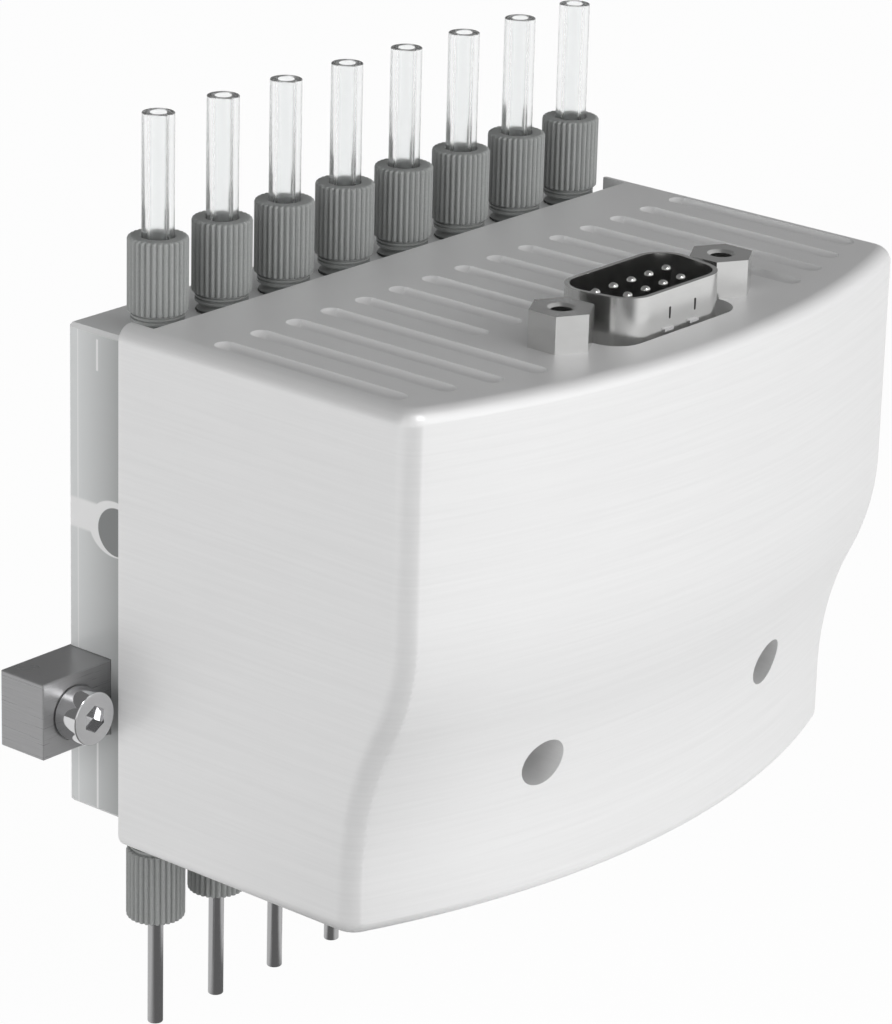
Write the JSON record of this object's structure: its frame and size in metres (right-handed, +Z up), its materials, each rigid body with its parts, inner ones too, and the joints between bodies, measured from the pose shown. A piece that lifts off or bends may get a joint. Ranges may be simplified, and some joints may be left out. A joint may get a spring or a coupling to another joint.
{
  "type": "pneumatic valve island",
  "caption": "Row of solenoid valves on a clear manifold under a curved cover, with knurled tube fittings above, dispensing needles below and a connector on top.",
  "frame": {"origin": "centre of the clear manifold's rear face, flush with the mounting bar's rear face", "axes": "+X along the row of channels, +Y out of the rear face, +Z up along the supply tubes"},
  "size_m": [0.0908, 0.0552, 0.0959],
  "materials": {
    "cover_aluminium": "fine satin, clear anodised",
    "clear_acrylic": "polished, clear",
    "clear_tube": "clear, smooth",
    "fitting_plastic": "moulded, knurled",
    "needle_steel": "drawn",
    "bar_aluminium": "brushed along its length",
    "screw_steel": "bright",
    "insert_steel": "turned",
    "connector_steel": "nickel plated",
    "connector_insulator": "moulded",
    "connector_pins": "plated",
    "circuit_board": "solder resist",
    "valve_plastic": "moulded",
    "plunger_steel": "turned",
    "seal_rubber": "moulded"
  },
  "bodies": {
    "housing": {"cover": "cover_aluminium", "manifold_block": "clear_acrylic", "circuit_board": "circuit_board", "connector_shell": "connector_steel", "connector_insulator": "connector_insulator", "connector_pins": "connector_pins", "jack_posts": "connector_steel", "mounting_bar": "bar_aluminium", "m3_cap_screws": "screw_steel", "m2_cap_screws": "screw_steel", "threaded_inserts": "insert_steel", "valve_seals": "seal_rubber", "valve_1": "valve_plastic", "valve_2": "valve_plastic", "valve_3": "valve_plastic", "valve_4": "valve_plastic", "valve_5": "valve_plastic", "valve_6": "valve_plastic", "valve_7": "valve_plastic", "valve_8": "valve_plastic"},
    "inlet_line_1": {"inlet_tube_1": "clear_tube"},
    "inlet_fitting_1": {"inlet_nut_1": "fitting_plastic"},
    "outlet_line_1": {"needle_1": "needle_steel"},
    "outlet_fitting_1": {"outlet_nut_1": "fitting_plastic"},
    "plunger_1": {"valve_plunger_1": "plunger_steel"},
    "inlet_line_2": {"inlet_tube_2": "clear_tube"},
    "inlet_fitting_2": {"inlet_nut_2": "fitting_plastic"},
    "outlet_line_2": {"needle_2": "needle_steel"},
    "outlet_fitting_2": {"outlet_nut_2": "fitting_plastic"},
    "plunger_2": {"valve_plunger_2": "plunger_steel"},
    "inlet_line_3": {"inlet_tube_3": "clear_tube"},
    "inlet_fitting_3": {"inlet_nut_3": "fitting_plastic"},
    "outlet_line_3": {"needle_3": "needle_steel"},
    "outlet_fitting_3": {"outlet_nut_3": "fitting_plastic"},
    "plunger_3": {"valve_plunger_3": "plunger_steel"},
    "inlet_line_4": {"inlet_tube_4": "clear_tube"},
    "inlet_fitting_4": {"inlet_nut_4": "fitting_plastic"},
    "outlet_line_4": {"needle_4": "needle_steel"},
    "outlet_fitting_4": {"outlet_nut_4": "fitting_plastic"},
    "plunger_4": {"valve_plunger_4": "plunger_steel"},
    "inlet_line_5": {"inlet_tube_5": "clear_tube"},
    "inlet_fitting_5": {"inlet_nut_5": "fitting_plastic"},
    "outlet_line_5": {"needle_5": "needle_steel"},
    "outlet_fitting_5": {"outlet_nut_5": "fitting_plastic"},
    "plunger_5": {"valve_plunger_5": "plunger_steel"},
    "inlet_line_6": {"inlet_tube_6": "clear_tube"},
    "inlet_fitting_6": {"inlet_nut_6": "fitting_plastic"},
    "outlet_line_6": {"needle_6": "needle_steel"},
    "outlet_fitting_6": {"outlet_nut_6": "fitting_plastic"},
    "plunger_6": {"valve_plunger_6": "plunger_steel"},
    "inlet_line_7": {"inlet_tube_7": "clear_tube"},
    "inlet_fitting_7": {"inlet_nut_7": "fitting_plastic"},
    "outlet_line_7": {"needle_7": "needle_steel"},
    "outlet_fitting_7": {"outlet_nut_7": "fitting_plastic"},
    "plunger_7": {"valve_plunger_7": "plunger_steel"},
    "inlet_line_8": {"inlet_tube_8": "clear_tube"},
    "inlet_fitting_8": {"inlet_nut_8": "fitting_plastic"},
    "outlet_line_8": {"needle_8": "needle_steel"},
    "outlet_fitting_8": {"outlet_nut_8": "fitting_plastic"},
    "plunger_8": {"valve_plunger_8": "plunger_steel"}
  },
  "joints": [
    {"name": "inlet_lift_1", "type": "slide", "parent": "housing", "child": "inlet_line_1", "axis": [0, 0, 1], "range_m": [0, 0.0048]},
    {"name": "inlet_turn_1", "type": "hinge", "parent": "inlet_line_1", "child": "inlet_fitting_1", "pos_m": [-0.0315, -0.0078, 0.0272], "axis": [0, 0, 1], "range_deg": [0, 2161]},
    {"name": "outlet_drop_1", "type": "slide", "parent": "housing", "child": "outlet_line_1", "axis": [0, 0, -1], "range_m": [0, 0.0032]},
    {"name": "outlet_turn_1", "type": "hinge", "parent": "outlet_line_1", "child": "outlet_fitting_1", "pos_m": [-0.0315, -0.0078, -0.0295], "axis": [0, 0, -1], "range_deg": [0, 1441]},
    {"name": "valve_stroke_1", "type": "slide", "parent": "housing", "child": "plunger_1", "axis": [0, -1, 0], "range_m": [0, 0.0005], "stiffness_N_per_m": 400, "springref_m": -0.002},
    {"name": "inlet_lift_2", "type": "slide", "parent": "housing", "child": "inlet_line_2", "axis": [0, 0, 1], "range_m": [0, 0.0048]},
    {"name": "inlet_turn_2", "type": "hinge", "parent": "inlet_line_2", "child": "inlet_fitting_2", "pos_m": [-0.0225, -0.0078, 0.0272], "axis": [0, 0, 1], "range_deg": [0, 2161]},
    {"name": "outlet_drop_2", "type": "slide", "parent": "housing", "child": "outlet_line_2", "axis": [0, 0, -1], "range_m": [0, 0.0032]},
    {"name": "outlet_turn_2", "type": "hinge", "parent": "outlet_line_2", "child": "outlet_fitting_2", "pos_m": [-0.0225, -0.0078, -0.0295], "axis": [0, 0, -1], "range_deg": [0, 1441]},
    {"name": "valve_stroke_2", "type": "slide", "parent": "housing", "child": "plunger_2", "axis": [0, -1, 0], "range_m": [0, 0.0005], "stiffness_N_per_m": 400, "springref_m": -0.002},
    {"name": "inlet_lift_3", "type": "slide", "parent": "housing", "child": "inlet_line_3", "axis": [0, 0, 1], "range_m": [0, 0.0048]},
    {"name": "inlet_turn_3", "type": "hinge", "parent": "inlet_line_3", "child": "inlet_fitting_3", "pos_m": [-0.0135, -0.0078, 0.0272], "axis": [0, 0, 1], "range_deg": [0, 2161]},
    {"name": "outlet_drop_3", "type": "slide", "parent": "housing", "child": "outlet_line_3", "axis": [0, 0, -1], "range_m": [0, 0.0032]},
    {"name": "outlet_turn_3", "type": "hinge", "parent": "outlet_line_3", "child": "outlet_fitting_3", "pos_m": [-0.0135, -0.0078, -0.0295], "axis": [0, 0, -1], "range_deg": [0, 1441]},
    {"name": "valve_stroke_3", "type": "slide", "parent": "housing", "child": "plunger_3", "axis": [0, -1, 0], "range_m": [0, 0.0005], "stiffness_N_per_m": 400, "springref_m": -0.002},
    {"name": "inlet_lift_4", "type": "slide", "parent": "housing", "child": "inlet_line_4", "axis": [0, 0, 1], "range_m": [0, 0.0048]},
    {"name": "inlet_turn_4", "type": "hinge", "parent": "inlet_line_4", "child": "inlet_fitting_4", "pos_m": [-0.0045, -0.0078, 0.0272], "axis": [0, 0, 1], "range_deg": [0, 2161]},
    {"name": "outlet_drop_4", "type": "slide", "parent": "housing", "child": "outlet_line_4", "axis": [0, 0, -1], "range_m": [0, 0.0032]},
    {"name": "outlet_turn_4", "type": "hinge", "parent": "outlet_line_4", "child": "outlet_fitting_4", "pos_m": [-0.0045, -0.0078, -0.0295], "axis": [0, 0, -1], "range_deg": [0, 1441]},
    {"name": "valve_stroke_4", "type": "slide", "parent": "housing", "child": "plunger_4", "axis": [0, -1, 0], "range_m": [0, 0.0005], "stiffness_N_per_m": 400, "springref_m": -0.002},
    {"name": "inlet_lift_5", "type": "slide", "parent": "housing", "child": "inlet_line_5", "axis": [0, 0, 1], "range_m": [0, 0.0048]},
    {"name": "inlet_turn_5", "type": "hinge", "parent": "inlet_line_5", "child": "inlet_fitting_5", "pos_m": [0.0045, -0.0078, 0.0272], "axis": [0, 0, 1], "range_deg": [0, 2161]},
    {"name": "outlet_drop_5", "type": "slide", "parent": "housing", "child": "outlet_line_5", "axis": [0, 0, -1], "range_m": [0, 0.0032]},
    {"name": "outlet_turn_5", "type": "hinge", "parent": "outlet_line_5", "child": "outlet_fitting_5", "pos_m": [0.0045, -0.0078, -0.0295], "axis": [0, 0, -1], "range_deg": [0, 1441]},
    {"name": "valve_stroke_5", "type": "slide", "parent": "housing", "child": "plunger_5", "axis": [0, -1, 0], "range_m": [0, 0.0005], "stiffness_N_per_m": 400, "springref_m": -0.002},
    {"name": "inlet_lift_6", "type": "slide", "parent": "housing", "child": "inlet_line_6", "axis": [0, 0, 1], "range_m": [0, 0.0048]},
    {"name": "inlet_turn_6", "type": "hinge", "parent": "inlet_line_6", "child": "inlet_fitting_6", "pos_m": [0.0135, -0.0078, 0.0272], "axis": [0, 0, 1], "range_deg": [0, 2161]},
    {"name": "outlet_drop_6", "type": "slide", "parent": "housing", "child": "outlet_line_6", "axis": [0, 0, -1], "range_m": [0, 0.0032]},
    {"name": "outlet_turn_6", "type": "hinge", "parent": "outlet_line_6", "child": "outlet_fitting_6", "pos_m": [0.0135, -0.0078, -0.0295], "axis": [0, 0, -1], "range_deg": [0, 1441]},
    {"name": "valve_stroke_6", "type": "slide", "parent": "housing", "child": "plunger_6", "axis": [0, -1, 0], "range_m": [0, 0.0005], "stiffness_N_per_m": 400, "springref_m": -0.002},
    {"name": "inlet_lift_7", "type": "slide", "parent": "housing", "child": "inlet_line_7", "axis": [0, 0, 1], "range_m": [0, 0.0048]},
    {"name": "inlet_turn_7", "type": "hinge", "parent": "inlet_line_7", "child": "inlet_fitting_7", "pos_m": [0.0225, -0.0078, 0.0272], "axis": [0, 0, 1], "range_deg": [0, 2161]},
    {"name": "outlet_drop_7", "type": "slide", "parent": "housing", "child": "outlet_line_7", "axis": [0, 0, -1], "range_m": [0, 0.0032]},
    {"name": "outlet_turn_7", "type": "hinge", "parent": "outlet_line_7", "child": "outlet_fitting_7", "pos_m": [0.0225, -0.0078, -0.0295], "axis": [0, 0, -1], "range_deg": [0, 1441]},
    {"name": "valve_stroke_7", "type": "slide", "parent": "housing", "child": "plunger_7", "axis": [0, -1, 0], "range_m": [0, 0.0005], "stiffness_N_per_m": 400, "springref_m": -0.002},
    {"name": "inlet_lift_8", "type": "slide", "parent": "housing", "child": "inlet_line_8", "axis": [0, 0, 1], "range_m": [0, 0.0048]},
    {"name": "inlet_turn_8", "type": "hinge", "parent": "inlet_line_8", "child": "inlet_fitting_8", "pos_m": [0.0315, -0.0078, 0.0272], "axis": [0, 0, 1], "range_deg": [0, 2161]},
    {"name": "outlet_drop_8", "type": "slide", "parent": "housing", "child": "outlet_line_8", "axis": [0, 0, -1], "range_m": [0, 0.0032]},
    {"name": "outlet_turn_8", "type": "hinge", "parent": "outlet_line_8", "child": "outlet_fitting_8", "pos_m": [0.0315, -0.0078, -0.0295], "axis": [0, 0, -1], "range_deg": [0, 1441]},
    {"name": "valve_stroke_8", "type": "slide", "parent": "housing", "child": "plunger_8", "axis": [0, -1, 0], "range_m": [0, 0.0005], "stiffness_N_per_m": 400, "springref_m": -0.002}
  ],
  "couplings": [
    {"joint": "inlet_turn_1", "follows": "inlet_lift_1", "rad_per_m": 7854},
    {"joint": "outlet_turn_1", "follows": "outlet_drop_1", "rad_per_m": 7854},
    {"joint": "inlet_turn_2", "follows": "inlet_lift_2", "rad_per_m": 7854},
    {"joint": "outlet_turn_2", "follows": "outlet_drop_2", "rad_per_m": 7854},
    {"joint": "inlet_turn_3", "follows": "inlet_lift_3", "rad_per_m": 7854},
    {"joint": "outlet_turn_3", "follows": "outlet_drop_3", "rad_per_m": 7854},
    {"joint": "inlet_turn_4", "follows": "inlet_lift_4", "rad_per_m": 7854},
    {"joint": "outlet_turn_4", "follows": "outlet_drop_4", "rad_per_m": 7854},
    {"joint": "inlet_turn_5", "follows": "inlet_lift_5", "rad_per_m": 7854},
    {"joint": "outlet_turn_5", "follows": "outlet_drop_5", "rad_per_m": 7854},
    {"joint": "inlet_turn_6", "follows": "inlet_lift_6", "rad_per_m": 7854},
    {"joint": "outlet_turn_6", "follows": "outlet_drop_6", "rad_per_m": 7854},
    {"joint": "inlet_turn_7", "follows": "inlet_lift_7", "rad_per_m": 7854},
    {"joint": "outlet_turn_7", "follows": "outlet_drop_7", "rad_per_m": 7854},
    {"joint": "inlet_turn_8", "follows": "inlet_lift_8", "rad_per_m": 7854},
    {"joint": "outlet_turn_8", "follows": "outlet_drop_8", "rad_per_m": 7854}
  ]
}
